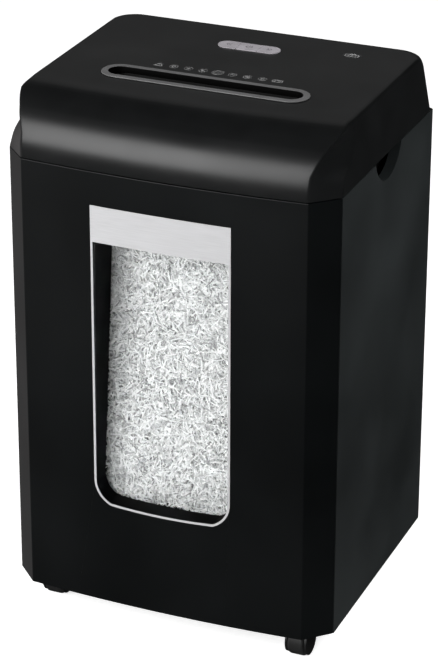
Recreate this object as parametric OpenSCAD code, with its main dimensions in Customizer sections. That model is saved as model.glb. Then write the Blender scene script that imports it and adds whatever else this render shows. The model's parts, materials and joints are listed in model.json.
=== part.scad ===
// Cross-cut paper shredder with a pull-out bin on four swivel casters.
// Origin: centre of the footprint on the floor. +Z up, front faces -Y.

/* [Cabinet] */
// Overall width
body_w = 393; // [340:1:480]
// Depth from the front corner line to the back
body_d = 323.5; // [290:0.5:400]
// Height of the cabinet walls
cab_h = 532; // [440:1:640]
// Height of the cabinet's lower edge above the floor
floor_gap = 34; // [32:1:50]
// How far the front bulges at its middle
front_bow = 7.5; // [3:0.5:14]
// Width of the 45 degree front corners
corner_cut = 28; // [20:1:36]
// Thickness of the side panels
panel_t = 12; // [8:1:16]
// Thickness of the back panel
back_t = 6; // [4:1:10]
// Thickness of the base board
base_t = 14; // [12:1:20]
// Radius of the finger recess at the top of each side panel
grip_r = 44; // [36:1:52]
// Depth of the finger recess below the top of the panel
grip_drop = 30; // [20:1:36]

/* [Head] */
// Height of the head cover
head_h = 70; // [64:1:90]
// Shadow gap between the cabinet and the head
parting_gap = 1.2; // [0.8:0.1:3]
// Wall of the head cover
cover_t = 3; // [2:0.5:4]
// How far each side of the cover leans in at the top
side_lean = 7.8; // [2:0.2:12]
// Radius of the big round at the front
front_r = 66; // [40:1:68]
// Radius of the round on each cut corner
corner_r = 69; // [60:1:90]
// Height at which the corner round starts above the cover's lower edge
corner_rise = 6; // [2:1:10]
// Radius of the top side edges
edge_r = 5; // [4:0.5:8]
// Radius of the top rear edge
rear_r = 10; // [6:1:16]
// Radius of the head's rear corners
rear_corner_r = 12; // [6:1:20]
// Depth of the mechanism tray below the cabinet's top edge
tray_drop = 51; // [48:1:60]

/* [Feed slot] */
// Length of the paper slot
slot_len = 230; // [200:1:250]
// Width of the paper slot's mouth
slot_w = 26; // [20:1:30]
// Distance of the slot behind the front corner line
slot_back = 117.5; // [105:0.5:130]
// Width of the bezel's rim
bezel_rim = 8; // [5:0.5:9]
// Height of the bezel above the cover
bezel_proud = 1.5; // [0.5:0.1:3]
// Gap of the throat above the cutters
throat_gap = 8; // [6:0.5:10]

/* [Controls] */
// Length of the row of three buttons
button_row = 75; // [66:1:90]
// Width of the row of buttons
button_w = 22; // [18:1:26]
// Distance of the buttons behind the slot
button_back = 130; // [122:1:150]
// Height of the buttons above the cover
button_proud = 1; // [0.5:0.1:2]
// Travel of a button
button_travel = 1.2; // [0.8:0.1:1.2]
// Number of small status lenses
lens_count = 9; // [5:2:11]
// Distance between two status lenses
lens_pitch = 17.75; // [16:0.25:19]
// Diameter of a small status lens
lens_d = 11; // [8:0.5:12]
// Diameter of the middle status lens
lens_mid_d = 15; // [12:0.5:18]
// Distance of the status lenses behind the slot
lens_back = 38; // [34:0.5:44]

/* [Cutting block] */
// Distance between the two cutter shafts
cutter_gap = 40; // [38:0.5:41]
// Tip radius of a cutter disc
disc_r = 22; // [21:0.5:23]
// Thickness of a cutter disc
disc_t = 3.6; // [3:0.1:3.6]
// Distance between two discs on one shaft
disc_pitch = 8; // [8:0.5:10]
// Number of points on a disc
disc_points = 9; // [7:1:11]
// Radius of the shaft between the discs
core_r = 13; // [11:0.5:14]
// Radius of the shaft journals
journal_r = 6; // [5:0.5:7]
// Thickness of the frame plates
plate_t = 3; // [2:0.5:3]

/* [Gear train] */
// Teeth on each pinion
pinion_teeth = 14; // [12:1:15]
// Teeth on each of the two idler wheels
wheel_teeth = 42; // [38:1:44]
// Teeth on the main gear
main_teeth = 36; // [32:1:38]
// Width of a gear
gear_t = 8; // [6:0.5:8]
// Radius of the idler axles
axle_r = 4; // [3:0.5:4]
// Radius of the motor housing
motor_r = 27; // [22:1:27]
// Length of the motor housing
motor_l = 98; // [80:1:104]

/* [Bin] */
// Wall of the bin tub
tub_t = 2.5; // [2:0.5:4]
// Wall of the bin front
skin_t = 4; // [3:0.5:4]
// Gap between the bin and the tray above it
bin_head_gap = 17; // [15:1:30]
// Height of the paper at the back of the bin
heap_back_z = 390; // [200:5:400]

/* [Window] */
// Width of the window opening
window_w = 161; // [120:1:190]
// Height of the window's lower edge above the floor
window_z0 = 161; // [140:1:220]
// Height of the window's upper edge above the floor
window_z1 = 484; // [400:1:484]
// Radius of the window's lower corners
window_r = 30; // [20:1:40]
// Rise of the window's lower edge towards its corners
window_bow = 4; // [2:0.5:8]
// Width of the window trim
trim_w = 2.5; // [1.5:0.5:4]
// Height of the badge plate
badge_h = 43; // [30:1:46]
// Thickness of the badge plate
badge_t = 1; // [0.8:0.1:1.5]
// Depth of the window recess at its lower edge
recess_low = 16; // [12:1:20]
// Depth of the window recess at its upper edge
recess_high = 47; // [30:1:48]

/* [Casters] */
// Diameter of a caster wheel
wheel_d = 38; // [32:1:40]
// Width of a caster wheel
wheel_w = 20; // [16:0.5:20]
// Distance of the wheel's axle from the swivel axis
trail = 9; // [6:0.5:10]
// Distance of each swivel axis from the middle plane
caster_x = 157; // [130:1:161]
// Distance of the front swivel axes behind the front corner line
caster_front = 37.5; // [32:0.5:45]
// Distance of the rear swivel axes from the back
caster_rear = 42; // [40:1:60]

/* [Hidden] */

// overall levels
z_skirt = floor_gap;
z_split = floor_gap + cab_h;
z_head = z_split + parting_gap;
z_top = z_head + head_h;
z_inner_top = z_top - cover_t;
z_base = floor_gap + 12;
z_base_top = z_base + base_t;
z_tray = z_split - tray_drop;
tray_t = 3;
z_tray_top = z_tray + tray_t;
z_deck = z_head + 3;

// plan: half width, back, front corner line and the bowed front
half_w = body_w / 2;
y_back = (body_d + front_bow + badge_t) / 2;
y_front = y_back - body_d;
bow_half = half_w - corner_cut;
bow_R = (bow_half * bow_half + front_bow * front_bow) / (2 * front_bow);
y_axis = y_front - front_bow + bow_R;
cut_reach = half_w - corner_cut - y_front;
seam = 1;
y_door = y_front + corner_cut;
inner_w = half_w - panel_t;
slide_gap = 0.4;
fine = 720;
grip_y = y_front + 173;
screw_r = 1.6;
screw_l = 16;
screw_head_r = 3;
screw_head_t = 1.6;
screw_inset = 4;

// tray
tray_half = inner_w - 12.5;
tray_front = y_door + 8;
tray_back = y_back - back_t - 8;

// mechanism
slot_y = y_front + slot_back;
cutter_half = slot_len / 2;
front_y = slot_y - cutter_gap / 2;
rear_y = slot_y + cutter_gap / 2;
cut_z = z_split - 4;
disc_count = floor(slot_len / disc_pitch);
plate_x = cutter_half + 3;
plate_out = plate_x + plate_t;
bush_r = journal_r + 2;
run_fit = 0.05;
layer_gap = 1.5;
layer_a = plate_out + 2;
layer_b = layer_a + gear_t + layer_gap;
layer_c = layer_b + gear_t + layer_gap;
layer_end = layer_c + gear_t;
module_1 = 1.5;
module_2 = 1.75;
module_3 = 2;
timing_module = 2;
timing_teeth = cutter_gap / timing_module;
second_dir = 15;
first_dir = -10;
motor_dir = 150;
second_reach = module_3 * (pinion_teeth + main_teeth) / 2;
first_reach = module_2 * (pinion_teeth + wheel_teeth) / 2;
motor_reach = module_1 * (pinion_teeth + wheel_teeth) / 2;
second_y = rear_y + second_reach * cos(second_dir);
second_z = cut_z + second_reach * sin(second_dir);
first_y = second_y + first_reach * cos(first_dir);
first_z = second_z + first_reach * sin(first_dir);
motor_y = first_y + motor_reach * cos(motor_dir);
motor_z = first_z + motor_reach * sin(motor_dir);
plate_front_y = front_y - 36;
plate_back_y = first_y + module_1 * wheel_teeth / 2 + 7;
plate_top_z = cut_z + 44;
gear_top_z = second_z + module_2 * (wheel_teeth / 2 + 1) + 4;
drop_half = cutter_gap / 2 + 14;
strip_near = disc_r + 1.5;
strip_far = strip_near + 6.5;
rod_off_y = strip_near + 5;
rod_off_z = disc_r + 5;
rod_r = 3;
chute_bottom = cut_z + disc_r + 2;
chute_wall = 2;
neck_wall = 2;
neck_drop = 3;
mouth_half = slot_w / 2 + neck_wall + 1.5;
lever_half = 1.5;
lever_pin_r = 1.5;
lever_y = slot_y + 19;
lever_z = z_inner_top - 23;
sensor_y = lever_y + 9;

// controls
button_y = slot_y + button_back;
button_gap = 0.6;
button_fit = 0.4;
button_third = 13;
button_low = z_inner_top - 2.4;
board_t = 1.6;
board_half = 84;
board_top = button_low - button_travel - 4;
lens_y = slot_y + lens_back;
lamp_x = 117;
lamp_y = button_y + 20;
lamp_l = 22;
lamp_w = 13;

// rear panel fittings
inlet_x = -120;
switch_x = -70;
rear_z = z_head + 34;
inlet_w = 27;
inlet_h = 20;
switch_w = 22;
switch_h = 14;
rocker_tilt = 7;
rocker_y = y_back - 5;
rocker_pin_r = 1.2;
vent_x = 60;
vent_w = 130;
vent_h = 34;

// bin
z_tub = z_base_top + 6;
z_tub_top = z_tray - bin_head_gap;
tub_half = inner_w - 10.5;
tub_front = y_front + recess_high - 1.5;
tub_back = y_back - back_t - 10;
runner_h = z_tub - slide_gap - z_base_top;
recess_slope = (recess_high - recess_low) / (window_z1 - window_z0);
pocket_h = 22;
pocket_z = window_z1 + pocket_h;
pane_t = 3;
pane_rim = 3;
tunnel_t = 2;
heap_gap = 1;
magnet_x = 130;

// casters
wheel_r = wheel_d / 2;
axle_pin_r = 2.5;
cheek_t = 2.5;
cheek_gap = 0.4;
stem_r = 5.5;
fork_top = z_base - 1;
caster_front_y = y_front + caster_front;
caster_rear_y = y_back - caster_rear;
rear_turn_l = 168;
rear_turn_r = 12;

// ---------- shared shapes ----------

// Plan outline of cabinet and head, moved in by inset
module outline(inset = 0) {
    intersection() {
        translate([0, y_axis]) circle(r = bow_R - inset, $fn = fine);
        translate([-half_w + inset, y_front - 40]) square([body_w - 2 * inset, body_d + 40 - inset]);
        translate([0, y_back + 200]) rotate(45)
            square((cut_reach + y_back + 200 - inset * sqrt(2)) * sqrt(2), center = true);
    }
}

// A bar of the given half height whose ends are half circles
module pill(length, width) {
    square([length - width, width], center = true);
    for (s = [-1, 1]) translate([s * (length - width) / 2, 0]) circle(d = width, $fn = 96);
}

// Window outline in X and Z: square top, round lower corners, slightly bowed lower edge
module window_2d(grow, top) {
    w = window_w + 2 * grow;
    low = window_z0 - grow;
    r = window_r + grow;
    bow_r = (w * w / 4 + window_bow * window_bow) / (2 * window_bow);
    intersection() {
        union() {
            translate([-w / 2, low + r]) square([w, top - low - r]);
            translate([-w / 2 + r, low]) square([w - 2 * r, r + 1]);
            for (s = [-1, 1]) translate([s * (w / 2 - r), low + r]) circle(r = r, $fn = 96);
        }
        translate([0, low + bow_r]) circle(r = bow_r, $fn = fine);
    }
}

// Extrudes an outline drawn in X and Z along Y, from y0 to y1
module along_y(y0, y1) {
    translate([0, y1, 0]) rotate([90, 0, 0]) linear_extrude(y1 - y0) children();
}

// Extrudes an outline drawn in Y and Z along X, from x0 to x1
module along_x(x0, x1) {
    translate([x0, 0, 0]) rotate([90, 0, 90]) linear_extrude(x1 - x0) children();
}

// Round bar along X
module bar_x(r, x0, x1, y, z) {
    translate([x0, y, z]) rotate([0, 90, 0]) cylinder(r = r, h = x1 - x0, $fn = 64);
}

// Layer that follows the bowed front, from inner to outer distance off its surface
module front_layer(inner, outer, z0, z1) {
    translate([0, y_axis, z0]) difference() {
        cylinder(r = bow_R + outer, h = z1 - z0, $fn = fine);
        translate([0, 0, -1]) cylinder(r = bow_R + inner, h = z1 - z0 + 2, $fn = fine);
    }
}

// Solid form of the head: bowed front with a big round, leaning sides, cut corners
module head_form(inset, low) {
    intersection() {
        head_front(inset, low);
        head_sides(inset, low);
        head_rear(inset, low);
        head_corner(inset, low);
        mirror([1, 0, 0]) head_corner(inset, low);
        translate([0, 0, low]) linear_extrude(z_top) head_plan(inset);
    }
}

module head_front(inset, low) {
    r = front_r - inset;
    r_in = y_axis - y_back - 20;
    r_out = bow_R - inset;
    top = z_top - inset;
    sweep = 2 * asin(half_w / r_in) + 2;
    translate([0, y_axis, 0]) rotate([0, 0, -90 - sweep / 2]) rotate_extrude(angle = sweep, $fn = fine) {
        translate([r_in, low]) square([r_out - r_in, top - r - low]);
        translate([r_in, low]) square([r_out - r - r_in, top - low]);
        translate([r_out - r, top - r]) circle(r = r, $fn = 180);
    }
}

module head_sides(inset, low) {
    lean = atan(side_lean / head_h);
    r = max(edge_r - inset, 1);
    top = z_top - inset;
    cz = top - r;
    cx = half_w - inset - side_lean * (cz - z_head) / head_h - r / cos(lean);
    half = [[half_w - inset, low], [half_w - inset, z_head],
        [cx + r * cos(lean), cz + r * sin(lean)], [cx, cz], [cx, top]];
    along_y(y_front - 60, y_back + 20) {
        polygon(concat(half, [for (i = [4:-1:0]) [-half[i][0], half[i][1]]]));
        for (s = [-1, 1]) translate([s * cx, cz]) circle(r = r, $fn = 96);
    }
}

module head_rear(inset, low) {
    r = rear_r - inset;
    rear = y_back - inset;
    top = z_top - inset;
    along_x(-half_w - 10, half_w + 10) {
        translate([y_front - 60, low]) square([rear - y_front + 60, top - r - low]);
        translate([y_front - 60, low]) square([rear - r - y_front + 60, top - low]);
        translate([rear - r, top - r]) circle(r = r, $fn = 96);
    }
}

module head_corner(inset, low) {
    zc = z_head + corner_rise;
    reach = body_w + body_d;
    translate([half_w - corner_cut, y_front, 0]) rotate([0, 0, 135]) rotate([90, 0, 0])
        linear_extrude(reach, center = true) {
            translate([inset, low]) square([reach, zc - low]);
            translate([corner_r, low]) square([reach, zc + corner_r - low]);
            translate([corner_r, zc]) circle(r = corner_r - inset, $fn = 180);
        }
}

module head_plan(inset) {
    r = rear_corner_r - inset;
    x = half_w - inset;
    y = y_back - inset;
    translate([-x, y_front - 40]) square([2 * x, y - r - y_front + 40]);
    translate([-x + r, y_front - 40]) square([2 * (x - r), y - y_front + 40]);
    for (s = [-1, 1]) translate([s * (x - r), y - r]) circle(r = r, $fn = 96);
}

// Spur gear outline; the middle of one tooth points along turn
module gear_2d(m, n, turn) {
    pitch_r = m * n / 2;
    root = pitch_r - 1.15 * m;
    tip = pitch_r + 0.8 * m;
    foot = 90 / n * 1.15;
    crown = 90 / n * 0.42;
    tooth = [[root, -foot], [tip, -crown], [tip, crown], [root, foot]];
    polygon([for (k = [0:n - 1], p = tooth)
        let (a = turn + 360 * k / n + p[1]) [p[0] * cos(a), p[0] * sin(a)]]);
}

// Spur gear on a shaft along X; turn is measured from +Y towards +Z
module gear_x(m, n, turn, x0, y, z) {
    translate([0, y, z]) along_x(x0, x0 + gear_t) gear_2d(m, n, turn);
}

// Spur gear fixed on a shaft of radius r
module bored_gear_x(m, n, turn, x0, y, z, r) {
    difference() {
        gear_x(m, n, turn, x0, y, z);
        bar_x(r, x0 - 1, x0 + gear_t + 1, y, z);
    }
}

// ---------- cabinet ----------

module side_panel() {
    difference() {
        translate([inner_w, y_door + seam, z_skirt]) cube([panel_t, y_back - y_door - seam, cab_h]);
        bar_x(grip_r, inner_w - 1, half_w + 1, grip_y, z_split - grip_drop + grip_r);
        at_deck_screws() cylinder(r = screw_r, h = screw_l, $fn = 32);
    }
}

module side_panel_left() {
    color([0.13, 0.14, 0.14]) mirror([1, 0, 0]) side_panel();
}

module side_panel_right() {
    color([0.13, 0.14, 0.14]) side_panel();
}

module back_panel() {
    color([0.12, 0.13, 0.13]) difference() {
        translate([-inner_w, y_back - back_t, z_skirt]) cube([2 * inner_w, back_t, cab_h]);
        at_back_screws() screw(true);
    }
}

module base_board() {
    board_front = y_door + 3;
    ear_w = 26;
    ear_front = caster_front_y - 12;
    color([0.1, 0.1, 0.1]) difference() {
        union() {
            translate([-inner_w, board_front, z_base])
                cube([2 * inner_w, y_back - back_t - board_front, base_t]);
            for (s = [-1, 1]) translate([s * caster_x - ear_w / 2, ear_front, z_base])
                cube([ear_w, board_front - ear_front + 1, base_t]);
        }
        for_casters() translate([0, 0, z_base - 1])
            cylinder(r = stem_r + 2.5, h = base_t + 2, $fn = 64);
        at_back_screws() screw(true);
    }
}

module bin_runner() {
    color([0.25, 0.25, 0.26]) translate([tub_half - 24, tub_front + 6, z_base_top])
        cube([8, tub_back - tub_front - 12, runner_h]);
}

module bin_runner_left() {
    mirror([1, 0, 0]) bin_runner();
}

module bin_runner_right() {
    bin_runner();
}

module for_casters() {
    for (s = [-1, 1]) {
        translate([s * caster_x, caster_front_y, 0]) children();
        translate([s * caster_x, caster_rear_y, 0]) children();
    }
}

module caster_sleeves() {
    color([0.5, 0.5, 0.5]) for_casters() translate([0, 0, z_base]) difference() {
        cylinder(r = stem_r + 2.5, h = base_t, $fn = 64);
        translate([0, 0, -1]) cylinder(r = stem_r + run_fit, h = base_t + 2, $fn = 64);
    }
}

// Places of the screws through the back panel into the base board
module at_back_screws() {
    for (s = [-1, 1]) translate([s * (inner_w - 40), y_back, z_base + base_t / 2])
        rotate([90, 0, 0]) children();
}

// Places of the screws through the deck into the tops of the side panels
module at_deck_screws() {
    for (s = [-1, 1], y = [slot_y - 45, y_back - 55])
        translate([s * (inner_w + screw_inset), y, z_deck]) mirror([0, 0, 1]) children();
}

// Screw that runs along +Z from its head's outer face; sunk screws lie flush
module screw(sunk) {
    translate([0, 0, sunk ? 0 : -screw_head_t]) cylinder(r = screw_head_r, h = screw_head_t, $fn = 32);
    cylinder(r = screw_r, h = screw_l, $fn = 32);
}

module housing_screws() {
    color([0.55, 0.55, 0.56]) {
        at_back_screws() screw(true);
        at_deck_screws() screw(false);
    }
}

// ---------- head shell ----------

module head_cover() {
    color([0.15, 0.15, 0.16]) difference() {
        head_form(0, z_head);
        head_form(cover_t, z_head - 1);
        translate([0, slot_y, z_inner_top - 1]) linear_extrude(cover_t + 2)
            pill(slot_len + 2 * neck_wall, slot_w + 2 * neck_wall);
        translate([0, button_y, z_inner_top - 1]) linear_extrude(cover_t + 2)
            pill(button_row + 2 * button_fit, button_w + 2 * button_fit);
        for_lenses() translate([0, 0, z_inner_top - 1])
            cylinder(d = lens_size($lens), h = cover_t + 2, $fn = 64);
        translate([lamp_x, lamp_y, z_inner_top - 1]) linear_extrude(cover_t + 2) pill(lamp_l, lamp_w);
        rear_cut(inlet_x, inlet_w, inlet_h);
        rear_cut(switch_x, switch_w, switch_h);
        rear_cut(vent_x, vent_w, vent_h);
    }
}

// Rectangular hole through the rear wall of the cover
module rear_cut(x, w, h) {
    translate([x - w / 2, y_back - cover_t - 1, rear_z - h / 2]) cube([w, cover_t + 2, h]);
}

// Deck under the cover, its lip on the cabinet walls, and the tray for the mechanism
module head_base() {
    y0 = y_door + seam + 0.5;
    color([0.1, 0.1, 0.11]) difference() {
        union() {
            translate([0, 0, z_head]) linear_extrude(z_deck - z_head) deck_plan();
            translate([0, 0, z_split]) linear_extrude(parting_gap) intersection() {
                outline(1);
                translate([-half_w, y0]) square([body_w, y_back - y0]);
            }
            translate([-tray_half - tray_t, tray_front - tray_t, z_tray])
                cube([2 * (tray_half + tray_t), tray_back - tray_front + 2 * tray_t, z_deck - z_tray]);
        }
        translate([-tray_half, tray_front, z_tray_top])
            cube([2 * tray_half, tray_back - tray_front, z_deck]);
        translate([-cutter_half - 1, slot_y - drop_half, z_tray - 1])
            cube([2 * cutter_half + 2, 2 * drop_half, tray_t + 2]);
        at_deck_screws() cylinder(r = screw_r, h = screw_l, $fn = 32);
    }
}

module deck_plan() {
    inset = cover_t + 0.6;
    intersection() {
        outline(inset);
        head_plan(inset);
    }
}

// ---------- feed slot ----------

module slot_bezel() {
    color([0.45, 0.45, 0.45]) translate([0, slot_y, 0]) difference() {
        union() {
            translate([0, 0, z_top]) linear_extrude(bezel_proud)
                pill(slot_len + 2 * bezel_rim, slot_w + 2 * bezel_rim);
            translate([0, 0, z_inner_top - neck_drop]) linear_extrude(cover_t + neck_drop)
                pill(slot_len + 2 * neck_wall, slot_w + 2 * neck_wall);
        }
        translate([0, 0, z_inner_top - neck_drop - 1]) linear_extrude(cover_t + neck_drop + bezel_proud + 2)
            pill(slot_len, slot_w);
    }
}

// Tapered throat that leads the paper from the slot to the cutters
module feed_chute() {
    throat = throat_gap / 2;
    ear_in = lever_half + 0.5;
    ear_t = 2.4;
    color([0.08, 0.08, 0.08]) difference() {
        union() {
            for (s = [-1, 1]) along_x(-plate_x, plate_x) polygon([
                [slot_y + s * mouth_half, z_inner_top], [slot_y + s * throat, chute_bottom],
                [slot_y + s * (throat + chute_wall), chute_bottom],
                [slot_y + s * (mouth_half + chute_wall), z_inner_top]]);
            for (s = [-1, 1]) translate([s * (plate_x - chute_wall / 2), 0, 0])
                along_x(-chute_wall / 2, chute_wall / 2) polygon([
                    [slot_y - throat, chute_bottom], [slot_y + throat, chute_bottom],
                    [slot_y + mouth_half - 1, z_inner_top - neck_drop - 1],
                    [slot_y - mouth_half + 1, z_inner_top - neck_drop - 1]]);
            for (s = [-1, 1]) translate([s * (ear_in + ear_t / 2) - ear_t / 2, lever_y - 7, lever_z - 6])
                cube([ear_t, sensor_y - lever_y + 7, 12]);
        }
        translate([-ear_in, slot_y, lever_z - 22]) cube([2 * ear_in, lever_y - slot_y + 3, 28]);
        bar_x(lever_pin_r + run_fit, -ear_in - ear_t - 1, ear_in + ear_t + 1, lever_y, lever_z);
    }
}

// Light gate that the lever's tail moves through
module paper_sensor() {
    color([0.12, 0.12, 0.14]) translate([-6, sensor_y, lever_z - 6]) difference() {
        cube([12, 6, 12]);
        translate([4, -1, 3]) cube([4, 5, 10]);
    }
}

// Feeler that the paper pushes aside; its axle lies across the throat
module sensor_lever() {
    color([0.75, 0.75, 0.72]) {
        bar_x(lever_pin_r, -lever_half - 2.7, lever_half + 2.7, lever_y, lever_z);
        bar_x(3.2, -lever_half, lever_half, lever_y, lever_z);
        along_x(-lever_half, lever_half) {
            polygon([[lever_y - 1, lever_z - 3], [lever_y + 2, lever_z],
                [slot_y + 1, lever_z - 11], [slot_y, lever_z - 12.5]]);
            translate([lever_y + 2, lever_z - 1]) square([sensor_y - lever_y, 2]);
        }
    }
}

// ---------- controls ----------

module button(x0, x1) {
    color([0.66, 0.65, 0.68]) translate([0, button_y, 0]) {
        translate([0, 0, button_low]) linear_extrude(z_top + button_proud - button_low)
            button_plan(x0, x1, 0);
        translate([0, 0, button_low]) linear_extrude(1.2) button_plan(x0, x1, 0.9);
    }
}

module button_plan(x0, x1, grow) {
    intersection() {
        pill(button_row + 2 * grow, button_w + 2 * grow);
        translate([x0, -button_w]) square([x1 - x0, 2 * button_w]);
    }
}

module reverse_button() {
    button(-button_row, -button_third - button_gap / 2);
}

module power_button() {
    button(-button_third + button_gap / 2, button_third - button_gap / 2);
}

module forward_button() {
    button(button_third + button_gap / 2, button_row);
}

// Frame round the buttons under the cover, with posts for the control board
module button_guide() {
    inner = 2 * (0.9 + button_fit);
    color([0.2, 0.2, 0.2]) {
        translate([0, button_y, button_low - 1]) linear_extrude(z_inner_top - button_low + 1) difference() {
            pill(button_row + inner + 4, button_w + inner + 4);
            pill(button_row + inner, button_w + inner);
        }
        for_posts() translate([0, 0, board_top]) cylinder(r = 3, h = z_inner_top - board_top, $fn = 32);
    }
}

module for_posts() {
    for (s = [-1, 1], y = [lens_y + 14, button_y + button_w / 2 + 6])
        translate([s * (board_half - 6), y, 0]) children();
}

module for_lenses() {
    middle = (lens_count - 1) / 2;
    for (i = [0:lens_count - 1]) {
        $lens = i - middle;
        translate([$lens * lens_pitch, lens_y, 0]) children();
    }
}

function lens_size(place) = place == 0 ? lens_mid_d : lens_d;

module status_lenses() {
    color([0.5, 0.5, 0.52]) for_lenses() {
        translate([0, 0, z_inner_top]) cylinder(d = lens_size($lens), h = cover_t + 0.2, $fn = 64);
        translate([0, 0, board_top]) cylinder(r = 2.5, h = z_inner_top - board_top + 1, $fn = 32);
    }
}

module status_lamp() {
    color([0.6, 0.6, 0.62]) translate([lamp_x, lamp_y, 0]) {
        translate([0, 0, z_inner_top]) linear_extrude(cover_t + 0.2) pill(lamp_l, lamp_w);
        translate([0, 0, z_inner_top - 6]) cylinder(r = 3, h = 7, $fn = 32);
    }
}

module control_board() {
    color([0.1, 0.35, 0.2])
        translate([-board_half, lens_y - 10, board_top - board_t])
            cube([2 * board_half, button_y + button_w / 2 + 12 - lens_y + 10, board_t]);
}

module tact_switches() {
    color([0.3, 0.3, 0.32]) for (x = [-1, 0, 1] * (button_third + 9)) translate([x, button_y, board_top]) {
        translate([-3, -3, 0]) cube([6, 6, 2.5]);
        cylinder(r = 1.7, h = 3.6, $fn = 32);
    }
}

// ---------- power ----------

module main_board() {
    w = 130;
    d = 100;
    z = z_tray_top + 8;
    color([0.12, 0.32, 0.18]) translate([-tray_half + 8, rear_y + 52, 0]) {
        translate([0, 0, z]) cube([w, d, board_t]);
        for (x = [6, w - 6], y = [6, d - 6]) translate([x, y, z_tray_top]) cylinder(r = 3, h = 9, $fn = 32);
        translate([14, 14, z]) cube([34, 30, 28]);
        translate([60, 20, z]) cube([22, 16, 18]);
        translate([60, 44, z]) cube([22, 16, 18]);
        for (y = [20, 44]) translate([104, y, z]) cylinder(r = 9, h = 24, $fn = 48);
        translate([20, 66, z]) cube([60, 4, 30]);
    }
}

// Mains inlet with its three pins, and the housing of the main switch
module power_entry() {
    color([0.07, 0.07, 0.07]) {
        difference() {
            rear_block(inlet_x, inlet_w, inlet_h, 22);
            rear_block(inlet_x, inlet_w - 5, inlet_h - 5, 16, 1);
        }
        for (i = [-1, 0, 1]) translate([inlet_x + i * 6 - 1, y_back - 19, rear_z - 2 + (i == 0 ? 4 : 0)])
            cube([2, 14, 4]);
        difference() {
            rear_block(switch_x, switch_w, switch_h, 18);
            rear_block(switch_x, switch_w - 3.2, switch_h - 3.2, 13, 1);
            bar_x(rocker_pin_r + run_fit, switch_x - switch_w / 2 + 0.4, switch_x + switch_w / 2 - 0.4,
                rocker_y, rear_z);
        }
    }
}

// Block behind the cover's rear face
module rear_block(x, w, h, depth, out = 0) {
    translate([x - w / 2, y_back - depth, rear_z - h / 2]) cube([w, depth + out, h]);
}

// Rocker of the main switch, shown at off
module main_switch() {
    half = (switch_w - 3.2) / 2 - 0.4;
    color([0.09, 0.09, 0.09]) translate([0, rocker_y, rear_z]) rotate([-rocker_tilt, 0, 0]) {
        translate([switch_x, 0, 0]) along_x(-half, half)
            polygon([[-3, -3.6], [4, -4.4], [3, 0], [4, 4.4], [-3, 3.6]]);
        bar_x(rocker_pin_r, switch_x - half - 1.2, switch_x + half + 1.2, 0, 0);
    }
}

module exhaust_grille() {
    bars = floor(vent_w / 12);
    pitch = vent_w / bars;
    slot_h = vent_h - 8;
    color([0.08, 0.08, 0.08]) difference() {
        rear_block(vent_x, vent_w, vent_h, cover_t);
        for (i = [0:bars - 1])
            translate([vent_x - vent_w / 2 + (i + 0.25) * pitch, y_back - cover_t - 1, rear_z - slot_h / 2])
                cube([pitch / 2, cover_t + 2, slot_h]);
    }
}

module reed_switch() {
    color([0.85, 0.85, 0.82]) translate([magnet_x, tub_back - tub_t - 6, z_tray - 8]) cube([16, 6, 8]);
}

// ---------- cutting block ----------

function disc_x(i) = (i - (disc_count - 1) / 2) * disc_pitch;

// Shaft with its discs; each disc is turned a little further than the last
module cutter(y, shift, left_end, right_end) {
    step = 360 / disc_points / 4;
    bar_x(core_r, -plate_x + 1, plate_x - 1, y, cut_z);
    bar_x(journal_r, left_end, right_end, y, cut_z);
    for (i = [0:disc_count - 1]) translate([disc_x(i) + shift - disc_t / 2, y, cut_z])
        rotate([0, 90, 0]) rotate(i * step) cylinder(r = disc_r, h = disc_t, $fn = disc_points);
}

module front_cutter() {
    color([0.5, 0.5, 0.52])
        cutter(front_y, -disc_pitch / 4, -layer_a - gear_t, plate_out + 1);
}

module rear_cutter() {
    color([0.5, 0.5, 0.52])
        cutter(rear_y, disc_pitch / 4, -layer_a - gear_t, layer_end);
}

// Comb that keeps paper off the shaft; side is -1 in front and 1 behind
module stripper(y, side, shift) {
    finger_t = disc_pitch - disc_t - 1.2;
    bar_y = side < 0 ? y - strip_far : y + strip_near;
    finger_y = side < 0 ? y - strip_far + 1 : y + 4;
    color([0.35, 0.35, 0.37]) difference() {
        union() {
            translate([-plate_x, bar_y, cut_z - 14]) cube([2 * plate_x, strip_far - strip_near, 28]);
            for (i = [0:disc_count - 2])
                translate([disc_x(i) + (disc_pitch - finger_t) / 2 + shift, finger_y, cut_z - 10])
                    cube([finger_t, strip_far - 5, 20]);
        }
        bar_x(core_r + 0.8, -plate_x - 1, plate_x + 1, y, cut_z);
    }
}

module front_stripper() {
    stripper(front_y, -1, -disc_pitch / 4);
}

module rear_stripper() {
    stripper(rear_y, 1, disc_pitch / 4);
}

module for_rods() {
    for (y = [front_y - rod_off_y, rear_y + rod_off_y], z = [cut_z - rod_off_z, cut_z + rod_off_z])
        translate([0, y, z]) children();
}

module tie_rods() {
    nut_t = 2;
    color([0.6, 0.6, 0.62]) for_rods() {
        bar_x(rod_r, -plate_out - 1, plate_out + 1, 0, 0);
        for (x = [-plate_out - nut_t, plate_out])
            translate([x, 0, 0]) rotate([0, 90, 0]) cylinder(r = 5.5, h = nut_t, $fn = 6);
    }
}

module plate_holes(x0, x1) {
    for (y = [front_y, rear_y]) bar_x(bush_r, x0, x1, y, cut_z);
    for_rods() bar_x(rod_r, x0, x1, 0, 0);
}

module left_frame_plate() {
    color([0.6, 0.61, 0.63]) difference() {
        translate([-plate_out, plate_front_y, z_tray_top])
            cube([plate_t, rear_y - front_y + 72, plate_top_z - z_tray_top]);
        plate_holes(-plate_out - 1, -plate_x + 1);
    }
}

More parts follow.
